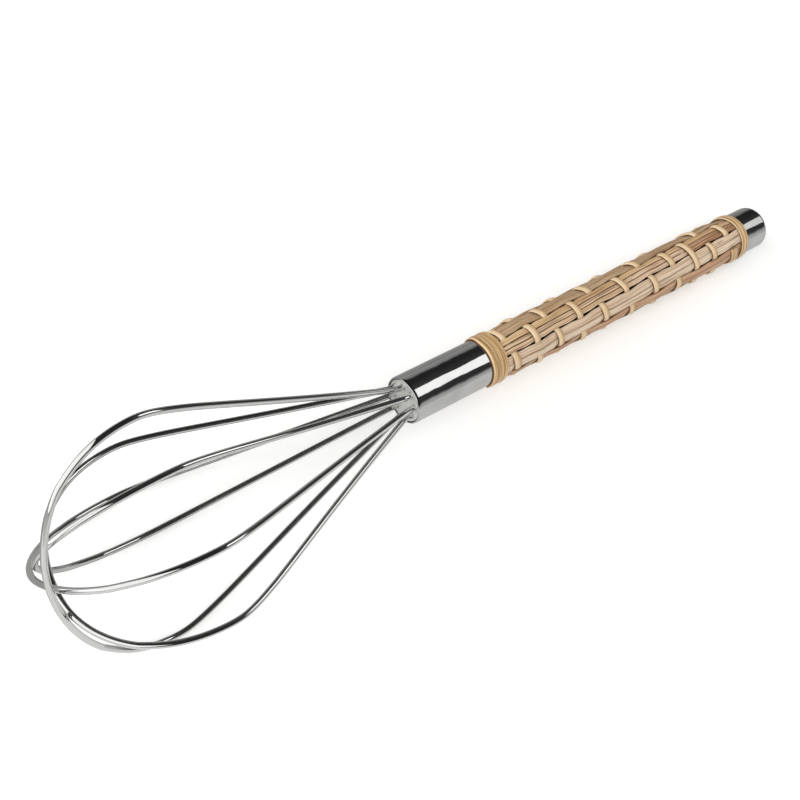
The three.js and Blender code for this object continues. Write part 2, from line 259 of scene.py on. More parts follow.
# Satin pressed stainless steel: the press leaves a fine grit, drawn here 0.4 mm across so that it shows,
# and faint stains a few millimetres wide. To the eye it is an even, pale grey.
GRIT_SIZE = 0.4 * MM
STAIN_SIZE = 4 * MM
satin = bpy.data.materials.new("satin_pressed_stainless_steel")
satin.use_nodes = True
tree = satin.node_tree
shader = tree.nodes["Principled BSDF"]
own_place = add_node(tree, "TexCoord")
grit = add_node(tree, "TexNoise", {"Scale": 1 / GRIT_SIZE, "Detail": 3.0},
                {"Vector": own_place.outputs["Object"]})
stain = add_node(tree, "TexNoise", {"Scale": 1 / STAIN_SIZE, "Detail": 2.0},
                 {"Vector": own_place.outputs["Object"]})
shade = add_node(tree, "ValToRGB", {}, {"Fac": stain.outputs["Fac"]})
colour_stops(shade, {0.3: "#ebeae7", 0.7: "#f6f5f2"})
dull = add_node(tree, "MapRange", {"To Min": 0.38, "To Max": 0.52}, {"Value": grit.outputs["Fac"]})
pits = add_node(tree, "Bump", {"Strength": 0.6, "Distance": 0.02 * MM}, {"Height": grit.outputs["Fac"]})
tree.links.new(shade.outputs["Color"], shader.inputs["Base Color"])
tree.links.new(dull.outputs["Result"], shader.inputs["Roughness"])
tree.links.new(pits.outputs["Normal"], shader.inputs["Normal"])
shader.inputs["Metallic"].default_value = 1.0


def drilled_disc(name, front_x, thickness, bevel, material):
    """A disc across the bore with a hole round every wire end, its edges broken by a small bevel."""
    sheet = bpy.data.curves.new(name, "CURVE")
    sheet.dimensions = "2D"
    sheet.fill_mode = "BOTH"
    sheet.extrude = (thickness / 2 - bevel) * MM
    sheet.bevel_depth = bevel * MM
    sheet.bevel_resolution = 2
    rings = [(0.0, 0.0, bore - PLATE_CLEARANCE - bevel, PLATE_SIDES)]
    for i in range(EXITS):
        angle = math.radians(FIRST_EXIT + EXIT_STEP * i)
        y, z = EXIT_RADIUS * math.sin(angle), EXIT_RADIUS * math.cos(angle)
        rings.append((y, z, HOLE_RADIUS + bevel, HOLE_SIDES))
    for y, z, radius, sides in rings:
        ring = sheet.splines.new("POLY")
        ring.points.add(sides - 1)
        for k, point in enumerate(ring.points):
            turn = math.tau * k / sides
            point.co = ((y + radius * math.cos(turn)) * MM, (z + radius * math.sin(turn)) * MM, 0.0, 1.0)
        ring.use_cyclic_u = True
    drawn = bpy.data.objects.new(name + "_outline", sheet)
    bpy.context.scene.collection.objects.link(drawn)
    solid = bpy.data.meshes.new_from_object(drawn.evaluated_get(bpy.context.evaluated_depsgraph_get()))
    bpy.data.objects.remove(drawn)
    middle = mouth + along * (front_x - thickness / 2) * MM
    solid.transform(Matrix.Translation(middle) @ Matrix((side, front, along)).transposed().to_4x4())
    verts = [v.co.copy() for v in solid.vertices]
    faces = [tuple(f.vertices) for f in solid.polygons]
    return finished_piece(name, verts, faces, material, [(0.0, 0.0, 0.0)] * len(verts))


plate = drilled_disc("satin_wire_plate", -PLATE_SETBACK, PLATE_THICKNESS, PLATE_BEVEL, satin)
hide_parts("wire_plate")


# Wire core: grey-brown casting resin poured in behind the plate, which grips the eight wire tails.
# It is matt and faintly mottled, and only its edge could ever be seen past the plate.
MOTTLE_SIZE = 3 * MM
resin = bpy.data.materials.new("cast_epoxy_resin")
resin.use_nodes = True
tree = resin.node_tree
shader = tree.nodes["Principled BSDF"]
own_place = add_node(tree, "TexCoord")
mottle = add_node(tree, "TexNoise", {"Scale": 1 / MOTTLE_SIZE, "Detail": 4.0},
                  {"Vector": own_place.outputs["Object"]})
shade = add_node(tree, "ValToRGB", {}, {"Fac": mottle.outputs["Fac"]})
colour_stops(shade, {0.3: "#45433d", 0.7: "#57544c"})
tree.links.new(shade.outputs["Color"], shader.inputs["Base Color"])
shader.inputs["Roughness"].default_value = 0.65
core = frame["nodes"]["wire_core"]
core.data.materials.clear()
core.data.materials.append(resin)


# Wire loops: four lengths of 2 mm stainless spring wire, drawn bright, each bent by hand into a pear
# and both ends set in the plate. Every loop leans and bellies a little differently from the next.
# A loop's turn is in degrees; its reach and belly are shares of the cage's length, the rest of its width.
WIRE_RADIUS = 0.97
WIRE_SIDES = 20
WIRE_TAIL_X = -22.3
CAGE_LENGTH = 122.2
CAGE_WIDTH = 76.8
EXIT_X = 2.0
EXIT_BEND = 1.2
LEG_LEAN = 0.68
BELLY_PULL = 9.5
TIP_PULL = 0.7
TIP_ROUND = 0.45
TAIL_STEPS = 6
EXIT_STEPS = 6
LEG_STEPS = 72
TIP_STEPS = 60
BEND_REACH = 26
BEND_PASSES = 50
LOOPS = (
    {"turn": -48.3, "reach": 1.0, "belly": 0.7447, "width": 1.0,
     "aside": 0.0313, "lift": 0.125, "skew": 0.0117},
    {"turn": -14.6, "reach": 0.9869, "belly": 0.6735, "width": 0.6328,
     "aside": -0.0599, "lift": -0.0482, "skew": 0.0469},
    {"turn": 22.0, "reach": 0.9959, "belly": 0.6882, "width": 0.9089,
     "aside": -0.0013, "lift": -0.0326, "skew": -0.0378},
    {"turn": 62.0, "reach": 0.973, "belly": 0.6841, "width": 0.862,
     "aside": 0.0456, "lift": -0.0326, "skew": 0.0573},
)


def flat_polar(x, azimuth, radius):
    """A point in the whisk's own millimetres, from an azimuth and a radius."""
    angle = math.radians(azimuth)
    return Vector((x, radius * math.sin(angle), radius * math.cos(angle)))


def bezier(points, steps):
    """Points along a Bezier curve, without its first one."""
    found = []
    for i in range(1, steps + 1):
        t = i / steps
        row = list(points)
        while len(row) > 1:
            row = [a.lerp(b, t) for a, b in zip(row, row[1:])]
        found.append(row[0])
    return found


def half_loop(loop, index, end):
    """One leg of a loop, from its tail in the resin to its belly and on round to the apex."""
    shift = Vector((0, loop["aside"] * CAGE_WIDTH, loop["lift"] * CAGE_WIDTH))
    across = flat_polar(0, loop["turn"], end * loop["width"] * CAGE_WIDTH / 2)
    drift = flat_polar(0, loop["turn"], loop["skew"] * CAGE_WIDTH)
    belly = Vector((loop["belly"] * CAGE_LENGTH, 0, 0)) + across + shift
    apex = Vector((loop["reach"] * CAGE_LENGTH, 0, 0)) + shift + drift
    exit_azimuth = FIRST_EXIT + EXIT_STEP * index
    start = flat_polar(WIRE_TAIL_X, exit_azimuth, end * EXIT_RADIUS)
    leaving = flat_polar(EXIT_X, exit_azimuth, end * EXIT_RADIUS)
    lean = belly - leaving
    bend_start = leaving - Vector((EXIT_BEND, 0, 0))
    bend_end = leaving + lean.normalized() * EXIT_BEND
    belly_pull = belly - Vector((BELLY_PULL, 0, 0))
    tip_pull = belly + Vector((TIP_PULL * (loop["reach"] - loop["belly"]) * CAGE_LENGTH, 0, 0))
    points = [start] + bezier([start, bend_start], TAIL_STEPS)
    points += bezier([bend_start, leaving, bend_end], EXIT_STEPS)
    points += bezier([bend_end, leaving + lean * LEG_LEAN, belly_pull, belly], LEG_STEPS)
    points += bezier([belly, tip_pull, apex + (across - drift) * TIP_ROUND, apex], TIP_STEPS)
    belly_index = TAIL_STEPS + EXIT_STEPS + LEG_STEPS
    first, last = belly_index - BEND_REACH, belly_index + BEND_REACH
    for _ in range(BEND_PASSES):
        neighbours = zip(points[first - 1:], points[first:], points[first + 1:last + 2])
        softer = [(a + b * 2 + c) / 4 for a, b, c in neighbours]
        points[first:last + 1] = softer
    return points


def drawn_wire(name, points, radius, sides, seed, material):
    """A round wire swept along its points, with flat ends."""
    verts, grain, faces = [], [], []
    normal = Vector((0, 0.3, 1))
    run = 0.0
    for i, point in enumerate(points):
        ahead = points[min(i + 1, len(points) - 1)] - points[max(i - 1, 0)]
        heading = ahead.normalized()
        normal = (normal - heading * normal.dot(heading)).normalized()
        binormal = heading.cross(normal)
        run += (point - points[i - 1]).length if i else 0.0
        for k in range(sides):
            turn = math.tau * k / sides
            around = normal * math.cos(turn) + binormal * math.sin(turn)
            verts.append(place(*(point + around * radius)))
            grain.append((run * MM, turn * radius * MM, seed))
    for i in range(len(points) - 1):
        for k in range(sides):
            after = (k + 1) % sides
            faces.append((i * sides + k, i * sides + after, (i + 1) * sides + after, (i + 1) * sides + k))
    last = (len(points) - 1) * sides
    faces.append(tuple(range(sides)))
    faces.append(tuple(range(last, last + sides)))
    return finished_piece(name, verts, faces, material, grain)


# Bright-drawn spring steel: the die leaves fine lines along the wire, drawn here 0.2 mm apart so that
# they show. It reflects about as sharply as the polished tube, and its gloss drifts in 9 mm patches.
DIE_LINE_LENGTH = 20 * MM
DIE_LINE_SPACING = 0.2 * MM
PATCH_SIZE = 9 * MM
wire_steel = bpy.data.materials.new("bright_drawn_spring_steel")
wire_steel.use_nodes = True
tree = wire_steel.node_tree
shader = tree.nodes["Principled BSDF"]
lengths = add_node(tree, "Attribute", {"attribute_name": "grain"})
own_place = add_node(tree, "TexCoord")
lines_scale = add_node(tree, "Mapping", {"Scale": (1 / DIE_LINE_LENGTH, 1 / DIE_LINE_SPACING, 30)},
                       {"Vector": lengths.outputs["Vector"]})
lines = add_node(tree, "TexNoise", {"Scale": 1.0, "Detail": 2.0}, {"Vector": lines_scale.outputs["Vector"]})
patches = add_node(tree, "TexNoise", {"Scale": 1 / PATCH_SIZE, "Detail": 2.0},
                   {"Vector": own_place.outputs["Object"]})
gloss = add_node(tree, "MapRange", {"From Min": 0.3, "From Max": 0.7, "To Min": 0.04, "To Max": 0.09},
                 {"Value": patches.outputs["Fac"]})
tint = add_node(tree, "ValToRGB", {}, {"Fac": lines.outputs["Fac"]})
colour_stops(tint, {0.3: "#b4b4b3", 0.7: "#c0c0bf"})
scores = add_node(tree, "Bump", {"Strength": 0.2, "Distance": 0.005 * MM}, {"Height": lines.outputs["Fac"]})
tree.links.new(tint.outputs["Color"], shader.inputs["Base Color"])
tree.links.new(gloss.outputs["Result"], shader.inputs["Roughness"])
tree.links.new(scores.outputs["Normal"], shader.inputs["Normal"])
shader.inputs["Metallic"].default_value = 1.0

for i, loop in enumerate(LOOPS):
    near, far = half_loop(loop, i, 1), half_loop(loop, i, -1)
    whole_loop = near + far[-2::-1]
    wire = drawn_wire(f"bright_wire_{i + 1}", whole_loop, WIRE_RADIUS, WIRE_SIDES, i / len(LOOPS), wire_steel)
    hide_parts(f"wire_loop_{i + 1}")


# Rattan stakes: nine stakes laid lengthwise round the neck with a slight twist, each of two flat splints.
# A splint dips where the weaver crosses over it and rises where the weaver goes under, and its ends are
# held down by the bindings. Hand splitting leaves every splint uneven, some with a split line.
STAKES = 9
STAKE_STEP = 360 / STAKES
FIRST_STAKE = -46.0
STAKE_TWIST = 28.0
SPREAD_AZIMUTH = 45
SPREAD_MOST = 10
SPREAD_WIDTH = 48
SPREAD_FULL_AT = 60
SPREAD_GONE_AT = 190
WEAVER_START = 39.5
WEAVER_LENGTH = 113.5
TURN_SHARES = (0.0, 0.095, 0.172, 0.274, 0.366, 0.477, 0.591, 0.7, 0.793, 0.882, 0.97, 1.08)
FLOATS = (72, 74, 81)


def crossing_distance(crossing):
    """Millimetres from the mouth to the weaver's crossing of that number, unevenly spaced as by hand."""
    turns = crossing / STAKES
    whole = min(max(math.floor(turns), 0), len(TURN_SHARES) - 2)
    share = TURN_SHARES[whole] + (TURN_SHARES[whole + 1] - TURN_SHARES[whole]) * (turns - whole)
    return WEAVER_START + share * WEAVER_LENGTH


def stake_azimuth(stake, distance):
    """Degrees round the axis of a stake at a distance from the mouth; its number runs on turn after turn."""
    return FIRST_STAKE + STAKE_STEP * stake - STAKE_TWIST * (distance - NECK_START) / (NECK_END - NECK_START)


def hand_set(azimuth, distance):
    """The azimuth after the stakes were spread by hand, up to 10 degrees wider on one side near the head."""
    off = (azimuth - SPREAD_AZIMUTH + 180) % 360 - 180
    spread = SPREAD_MOST * math.exp(-(off / SPREAD_WIDTH) ** 2)
    share = (SPREAD_GONE_AT - distance) / (SPREAD_GONE_AT - SPREAD_FULL_AT)
    return azimuth + spread * min(max(share, 0.0), 1.0)


over = [True]
while crossing_distance(len(over)) < WEAVER_START + WEAVER_LENGTH:
    over.append(over[-1] if len(over) in FLOATS else not over[-1])


def eased(knots, at):
    """The value at a place between (place, value) knots, eased from each to the next."""
    for (start, low), (end, high) in zip(knots, knots[1:]):
        if at <= end:
            t = min(max((at - start) / (end - start), 0.0), 1.0)
            return low + (high - low) * t * t * (3 - 2 * t)
    return knots[-1][1]


def strip_section(thickness, crown, edge_round, grooves, spread):
    """A flat strip's section as (share of half width, mm out, nearness to an edge or a split line).

    The crown is how far its edges fall in mm, and spread widens the split lines at the grooves' shares."""
    r = edge_round
    top = [(1.0, 0.6, 1.0), (1.0 - r * 0.3, 0.85, 0.8), (1.0 - r, 0.97, 0.35)]
    top += [(1.0 - 2 * r, 1.0, 0.0), (0.0, 1.0, 0.0)]
    top += [(-share, out, near) for share, out, near in top[-2::-1]]
    for groove in grooves:
        wall = [(0.14 * spread, 1.0, 0.0), (0.08 * spread, 0.9, 0.6), (0.03 * spread, 0.5, 1.0)]
        top = [point for point in top if abs(point[0] - groove) > 0.15 * spread]
        top += [(groove + off, out, near) for off, out, near in wall]
        top += [(groove - off, out, near) for off, out, near in wall]
    top.sort(key=lambda point: (-point[0], point[1] if point[0] > 0 else -point[1]))
    rounded = [(share, thickness * out - crown * share * share, near) for share, out, near in top]
    return [(-0.98, 0.0, 1.0), (0.98, 0.0, 1.0)] + rounded


def cane_strip(name, stations, section, lengthwise, tones, material):
    """A strip swept through stations (x, azimuth, radius, width), laid along the handle or wound round it.

    tones is its tone at every (millimetres from the mouth, tone) knot, eased between them."""
    count = len(section)
    verts, grain, edge, faces = [], [], [], []
    run = 0.0
    for i, (x, azimuth, radius, width) in enumerate(stations):
        tone = eased(tones, -x)
        if i:
            past = stations[i - 1]
            run += math.hypot(x - past[0], math.radians(azimuth - past[1]) * radius)
        for share, out, near in section:
            v = share * width / 2
            if lengthwise:
                turned_by = math.degrees(v / (radius + out))
                verts.append(round_place(x, hand_set(azimuth + turned_by, -x), radius + out))
            else:
                verts.append(round_place(x + v, hand_set(azimuth, -x), radius + out))
            grain.append((run * MM, v * MM, tone))
            edge.append(near)
    for i in range(len(stations) - 1):
        for k in range(count):
            after = (k + 1) % count
            faces.append((i * count + k, i * count + after, (i + 1) * count + after, (i + 1) * count + k))
    last = (len(stations) - 1) * count
    faces.append(tuple(range(count)))
    faces.append(tuple(range(last, last + count)))
    return finished_piece(name, verts, faces, material, grain, edge)


# Split rattan core: tan, from olive through pink to greyish white by the splint, with long fibres about
# 0.2 mm wide, dark reddish-brown split lines and the odd grey-brown stain. Its edges and the bottoms of its
# split grooves are darkened with painted shade, for the slits between the splints. It is dry and dull.
# Each pattern is longer along the splint than across it, and its third scale sets the splints apart.
RATTAN_PATCH = (20 * MM, 3 * MM)
RATTAN_FIBRE = (35 * MM, 0.2 * MM)
RATTAN_STAIN = (9 * MM, 1.6 * MM)
RATTAN_BAND = (60 * MM, 1.2 * MM)
rattan = bpy.data.materials.new("split_rattan")
rattan.use_nodes = True
tree = rattan.node_tree
shader = tree.nodes["Principled BSDF"]
lengths = add_node(tree, "Attribute", {"attribute_name": "grain"})
edge_share = add_node(tree, "Attribute", {"attribute_name": "edge"})
tone = add_node(tree, "SeparateXYZ", {}, {"Vector": lengths.outputs["Vector"]})
splint_tint = add_node(tree, "ValToRGB", {}, {"Fac": tone.outputs["Z"]})
colour_stops(splint_tint, {0.0: "#e3c497", 0.2: "#b89c7b", 0.4: "#ebcfab", 0.6: "#f2d6be", 0.8: "#f4e6d4",
                           0.9: "#d8aa8a", 1.0: "#a8754f"})
patch_scale = add_node(tree, "Mapping", {"Scale": (1 / RATTAN_PATCH[0], 1 / RATTAN_PATCH[1], 50)},
                       {"Vector": lengths.outputs["Vector"]})
patches = add_node(tree, "TexNoise", {"Scale": 1.0, "Detail": 2.0}, {"Vector": patch_scale.outputs["Vector"]})
patch_tone = add_node(tree, "ValToRGB", {}, {"Fac": patches.outputs["Fac"]})
colour_stops(patch_tone, {0.3: "#b08d64", 0.5: "#dcbd94", 0.7: "#f0d8c0"})
patched = add_node(tree, "MixRGB", {"Fac": 0.3},
                   {1: splint_tint.outputs["Color"], 2: patch_tone.outputs["Color"]})
fibre_scale = add_node(tree, "Mapping", {"Scale": (1 / RATTAN_FIBRE[0], 1 / RATTAN_FIBRE[1], 60)},
                       {"Vector": lengths.outputs["Vector"]})
fibres = add_node(tree, "TexNoise", {"Scale": 1.0, "Detail": 3.0}, {"Vector": fibre_scale.outputs["Vector"]})
fibre_tone = add_node(tree, "ValToRGB", {}, {"Fac": fibres.outputs["Fac"]})
colour_stops(fibre_tone, {0.3: "#8f6f52", 0.4: "#d2bfab", 0.5: "#f6efe6", 0.75: "#ffffff"})
fibred = add_node(tree, "MixRGB", {"blend_type": "MULTIPLY", "Fac": 1.0},
                  {1: patched.outputs["Color"], 2: fibre_tone.outputs["Color"]})
stain_scale = add_node(tree, "Mapping", {"Scale": (1 / RATTAN_STAIN[0], 1 / RATTAN_STAIN[1], 90)},
                       {"Vector": lengths.outputs["Vector"]})
stains = add_node(tree, "TexNoise", {"Scale": 1.0, "Detail": 4.0}, {"Vector": stain_scale.outputs["Vector"]})
stain_mask = add_node(tree, "MapRange", {"From Min": 0.6, "From Max": 0.8, "To Max": 0.7},
                      {"Value": stains.outputs["Fac"]})
stained = add_node(tree, "MixRGB", {"Color2": linear("#6f5a45")},
                   {"Fac": stain_mask.outputs["Result"], 1: fibred.outputs["Color"]})
band_scale = add_node(tree, "Mapping", {"Scale": (1 / RATTAN_BAND[0], 1 / RATTAN_BAND[1], 70)},
                      {"Vector": lengths.outputs["Vector"]})
bands = add_node(tree, "TexNoise", {"Scale": 1.0, "Detail": 1.0}, {"Vector": band_scale.outputs["Vector"]})
band_off = add_node(tree, "Math", {"operation": "SUBTRACT", 1: 0.5}, {0: bands.outputs["Fac"]})
band_edge = add_node(tree, "Math", {"operation": "ABSOLUTE"}, {0: band_off.outputs["Value"]})
line_share = add_node(tree, "ValToRGB", {}, {"Fac": tone.outputs["Z"]})
colour_stops(line_share, {0.0: "#909090", 0.2: "#303030", 0.4: "#ffffff", 0.58: "#ffffff", 0.66: "#404040",
                          0.8: "#383838", 0.9: "#c0c0c0", 1.0: "#ffffff"})
grain_line = add_node(tree, "MapRange", {"From Max": 0.045, "To Min": 0.55, "To Max": 0.0},
                      {"Value": band_edge.outputs["Value"]})
line_mask = add_node(tree, "Math", {"operation": "MULTIPLY"},
                     {0: grain_line.outputs["Result"], 1: line_share.outputs["Color"]})
lined = add_node(tree, "MixRGB", {"Color2": linear("#75492c")},
                 {"Fac": line_mask.outputs["Value"], 1: stained.outputs["Color"]})
# Painted shade: the splints' edges and the bottoms of their split grooves are darkened, for the slits.
edge_shade_mask = add_node(tree, "MapRange", {"From Min": 0.3, "From Max": 0.8, "To Max": 0.95},
                     {"Value": edge_share.outputs["Fac"]})
edge_share_kept = add_node(tree, "MapRange", {"To Min": 0.4, "To Max": 1.0},
                           {"Value": line_share.outputs["Color"]})
painted_edge_shade = add_node(tree, "Math", {"operation": "MULTIPLY"},
                     {0: edge_shade_mask.outputs["Result"], 1: edge_share_kept.outputs["Result"]})
edge_shaded = add_node(tree, "MixRGB", {"Color2": linear("#4a2f1c")},
                 {"Fac": painted_edge_shade.outputs["Value"], 1: lined.outputs["Color"]})
dry = add_node(tree, "MapRange", {"To Min": 0.7, "To Max": 0.5}, {"Value": fibres.outputs["Fac"]})
ridges = add_node(tree, "Bump", {"Strength": 0.8, "Distance": 0.06 * MM}, {"Height": fibres.outputs["Fac"]})
tree.links.new(edge_shaded.outputs["Color"], shader.inputs["Base Color"])
tree.links.new(dry.outputs["Result"], shader.inputs["Roughness"])
tree.links.new(ridges.outputs["Normal"], shader.inputs["Normal"])

# Each stake: where its two splints part and how far, then each splint's tones by distance and split lines
STAKE_SPLITS = (
    (0.1, 0.012, (((0, 0.21),), ()), (((0, 0.17),), ())),
    (-0.2, 0.03, (((0, 0.02),), ()), (((95, 0.47), (101, 0.58), (126, 0.6), (131, 0.96)), (-0.05,))),
    (0.0, 0.008, (((0, 0.73),), ()), (((0, 0.79),), ())),
    (-0.1, 0.02, (((60, 0.95), (84, 0.9)), ()), (((0, 0.88),), (0.1,))),
    (0.1, 0.02, (((0, 0.4),), (-0.2,)), (((0, 0.05),), ())),
    (0.0, 0.02, (((0, 0.7),), ()), (((0, 0.2),), (0.3,))),
    (-0.08, 0.03, (((0, 0.1),), (0.1,)), (((0, 0.55),), ())),
    (0.06, 0.015, (((0, 0.85),), ()), (((0, 0.4),), (-0.3,))),
    (-0.04, 0.025, (((0, 0.3),), (0.2,)), (((0, 0.15),), ())),
)
SPLINT_LOW = 7.25
SPLINT_LEVEL = 7.8
SPLINT_HIGH = 8.08
SPLINT_INSET = 1.3
SPLINT_THICKNESS = 0.5
SPLINT_EDGE = 0.09
SPLINT_STEPS = 240
HELD_FROM = 37.3
HELD_TO = 157.2
DIP_REACH = 3.2
DIP_FLAT = 0.9
DIP_CLEARANCE = 0.1
WIDE_HALF, OVER_HALF, UNDER_HALF = 19.3, 18.5, 15.9
PINCH_REACH = 5.5
PARTING_SWAY = 0.06
SWAY_PER_MM = 0.07
splitting = random.Random(11)
splint_run = NECK_END - NECK_START - 2 * SPLINT_INSET
dip = SPLINT_LOW + DIP_CLEARANCE
for stake, (parting, gap, *pair) in enumerate(STAKE_SPLITS):
    heights = [(NECK_START, SPLINT_LOW)]
    pinches = []
    for crossing in range(stake, len(over), STAKES):
        d = crossing_distance(crossing)
        if over[crossing]:
            heights += [(d - DIP_REACH, SPLINT_LEVEL), (d - DIP_FLAT, dip)]
            heights += [(d + DIP_FLAT, dip), (d + DIP_REACH, SPLINT_LEVEL)]
        else:
            heights.append((d, SPLINT_HIGH))
        pinches.append((d, WIDE_HALF - (OVER_HALF if over[crossing] else UNDER_HALF)))
    heights = [(at, height) for at, height in heights if at == NECK_START or HELD_FROM < at < HELD_TO]
    heights[1:1] = [(HELD_FROM, SPLINT_LOW)]
    heights += [(HELD_TO, SPLINT_LOW), (NECK_END, SPLINT_LOW)]
    phase = splitting.uniform(0, math.tau)
    for letter, (tones, grooves) in zip("ab", pair):
        stations = []
        for i in range(SPLINT_STEPS + 1):
            d = NECK_START + SPLINT_INSET + splint_run * i / SPLINT_STEPS
            radius = eased(heights, d)
            half = WIDE_HALF - max(depth * max(0, 1 - abs(d - at) / PINCH_REACH) for at, depth in pinches)
            part = parting + PARTING_SWAY * math.sin(d * SWAY_PER_MM + phase)
            inner, outer = (-1.0, part - gap) if letter == "a" else (part + gap, 1.0)
            azimuth = stake_azimuth(stake, d) + half * (inner + outer) / 2
            width = math.radians(half * (outer - inner)) * (radius + SPLINT_THICKNESS / 2)
            stations.append((-d, azimuth, radius, width))
        section = strip_section(SPLINT_THICKNESS, 0.0, SPLINT_EDGE, grooves, 1.0)
        splint = cane_strip(f"rattan_splint_{stake + 1}{letter}", stations, section, True, tones, rattan)
        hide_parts(f"splint_{stake + 1}{letter}")


# Weaver: one peeled cane strip about 2.6 mm wide, woven round the stakes in a long helix, over one and
# under the next. It is rounded on top, and its ends are tucked under the stakes.
WEAVER_LOW = 7.05
WEAVER_HIGH = 8.12
WEAVER_WIDTH = 2.6
WEAVER_WIDTH_SWAY = 0.15
SWAY_PER_CROSSING = 0.9
WEAVER_THICKNESS = 1.0
WEAVER_CROWN = 0.4
WEAVER_EDGE = 0.16
WEAVER_WANDER = 0.25
CROSSING_STEPS = 12
TUCK_STEPS = 5
RISE_STEEPNESS = 2

# Peeled cane: smoother than the splints, a satin skin with faint fibres along the strip. Painted light makes
# it paler on its head side and darker on its tail side, a painted highlight runs as a pale line near its
# edges, and its sides are darkened with painted shade where it meets the splints.
CANE_FIBRE = (25 * MM, 0.3 * MM)
CANE_DRIFT = (18 * MM, 10 * MM)
peeled = bpy.data.materials.new("peeled_cane")
peeled.use_nodes = True
tree = peeled.node_tree
shader = tree.nodes["Principled BSDF"]
lengths = add_node(tree, "Attribute", {"attribute_name": "grain"})
edge_share = add_node(tree, "Attribute", {"attribute_name": "edge"})
fibre_scale = add_node(tree, "Mapping", {"Scale": (1 / CANE_FIBRE[0], 1 / CANE_FIBRE[1], 60)},
                       {"Vector": lengths.outputs["Vector"]})
fibres = add_node(tree, "TexNoise", {"Scale": 1.0, "Detail": 3.0}, {"Vector": fibre_scale.outputs["Vector"]})
fibre_tone = add_node(tree, "ValToRGB", {}, {"Fac": fibres.outputs["Fac"]})
colour_stops(fibre_tone, {0.32: "#987040", 0.5: "#dcbb8c", 0.66: "#f4e2c6"})
drift_scale = add_node(tree, "Mapping", {"Scale": (1 / CANE_DRIFT[0], 1 / CANE_DRIFT[1], 10)},
                       {"Vector": lengths.outputs["Vector"]})
drifts = add_node(tree, "TexNoise", {"Scale": 1.0, "Detail": 2.0}, {"Vector": drift_scale.outputs["Vector"]})
drift_tone = add_node(tree, "ValToRGB", {}, {"Fac": drifts.outputs["Fac"]})
colour_stops(drift_tone, {0.35: "#bc9462", 0.5: "#dfbf94", 0.65: "#eacbae"})
blended = add_node(tree, "MixRGB", {"Fac": 0.5},
                   {1: fibre_tone.outputs["Color"], 2: drift_tone.outputs["Color"]})
over_width = add_node(tree, "SeparateXYZ", {}, {"Vector": lengths.outputs["Vector"]})
# Painted light: the strip is painted paler on its head side and darker on its tail side, as lit from the tip.
lit_head_side = add_node(tree, "MapRange", {"From Min": -1 * MM, "From Max": 1 * MM},
                     {"Value": over_width.outputs["Y"]})
painted_light_tone = add_node(tree, "ValToRGB", {}, {"Fac": lit_head_side.outputs["Result"]})
colour_stops(painted_light_tone, {0.0: "#ab7f4c", 0.45: "#d2a870", 0.75: "#f3dfbf", 1.0: "#e2c598"})
with_painted_light = add_node(tree, "MixRGB", {"Fac": 0.5},
                     {1: blended.outputs["Color"], 2: painted_light_tone.outputs["Color"]})
# Painted highlight: a pale line along the strip's rounded shoulders.
highlight_line = add_node(tree, "ValToRGB", {}, {"Fac": edge_share.outputs["Fac"]})
colour_stops(highlight_line, {0.0: "#000000", 0.3: "#000000", 0.5: "#ffffff", 0.7: "#000000", 1.0: "#000000"})
with_highlight_line = add_node(tree, "MixRGB", {"Color2": linear("#f6e6cd")},
                {"Fac": highlight_line.outputs["Color"], 1: with_painted_light.outputs["Color"]})
# Painted shade: the strip's sides are darkened where it meets the splints.
edge_shade_mask = add_node(tree, "MapRange", {"From Min": 0.7, "From Max": 1.0, "To Max": 0.9},
                     {"Value": edge_share.outputs["Fac"]})
edge_shaded = add_node(tree, "MixRGB", {"Color2": linear("#5f4127")},
                 {"Fac": edge_shade_mask.outputs["Result"], 1: with_highlight_line.outputs["Color"]})
satin_skin = add_node(tree, "MapRange", {"To Min": 0.52, "To Max": 0.38}, {"Value": fibres.outputs["Fac"]})
ridges = add_node(tree, "Bump", {"Strength": 0.5, "Distance": 0.05 * MM}, {"Height": fibres.outputs["Fac"]})
tree.links.new(edge_shaded.outputs["Color"], shader.inputs["Base Color"])
tree.links.new(satin_skin.outputs["Result"], shader.inputs["Roughness"])
tree.links.new(ridges.outputs["Normal"], shader.inputs["Normal"])

weaving = random.Random(5)
wander = [weaving.uniform(-WEAVER_WANDER, WEAVER_WANDER) for _ in range(len(over) + 3)]
stations = []
for i in range(-TUCK_STEPS, (len(over) - 1) * CROSSING_STEPS + TUCK_STEPS):
    crossing = i / CROSSING_STEPS
    whole = math.floor(crossing)
    share = crossing - whole
    here = over[whole] if whole >= 0 else not over[0]
    there = over[whole + 1] if whole + 1 < len(over) else here
    rise = math.tanh(RISE_STEEPNESS * math.cos(math.pi * share)) / math.tanh(RISE_STEEPNESS)
    change = 0.5 - 0.5 * rise
    radius = WEAVER_LOW + (WEAVER_HIGH - WEAVER_LOW) * (here + (there - here) * change)
    off = wander[whole + 1] + (wander[whole + 2] - wander[whole + 1]) * share
    distance = crossing_distance(crossing)
    width = WEAVER_WIDTH + WEAVER_WIDTH_SWAY * math.sin(crossing * SWAY_PER_CROSSING)
    stations.append((-distance + off, stake_azimuth(crossing, distance), radius, width))
section = strip_section(WEAVER_THICKNESS, WEAVER_CROWN, WEAVER_EDGE, (), 1.0)
weaver = cane_strip("cane_weaver_strip", stations, section, False, ((0, 0.3),), peeled)
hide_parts("weaver")


# Bindings: flat cane with its skin on, wound tightly over the stake ends, two rings at the head and one at
# the tail. The head one crosses from ring to ring behind, and both come in slantwise from the weave.
BINDING_INNER = 8.06
BINDING_THICKNESS = 0.8
BINDING_CROWN = 0.2
BINDING_EDGE = 0.12
BINDING_SPLIT_SPREAD = 1.4
BINDING_STEP = 3
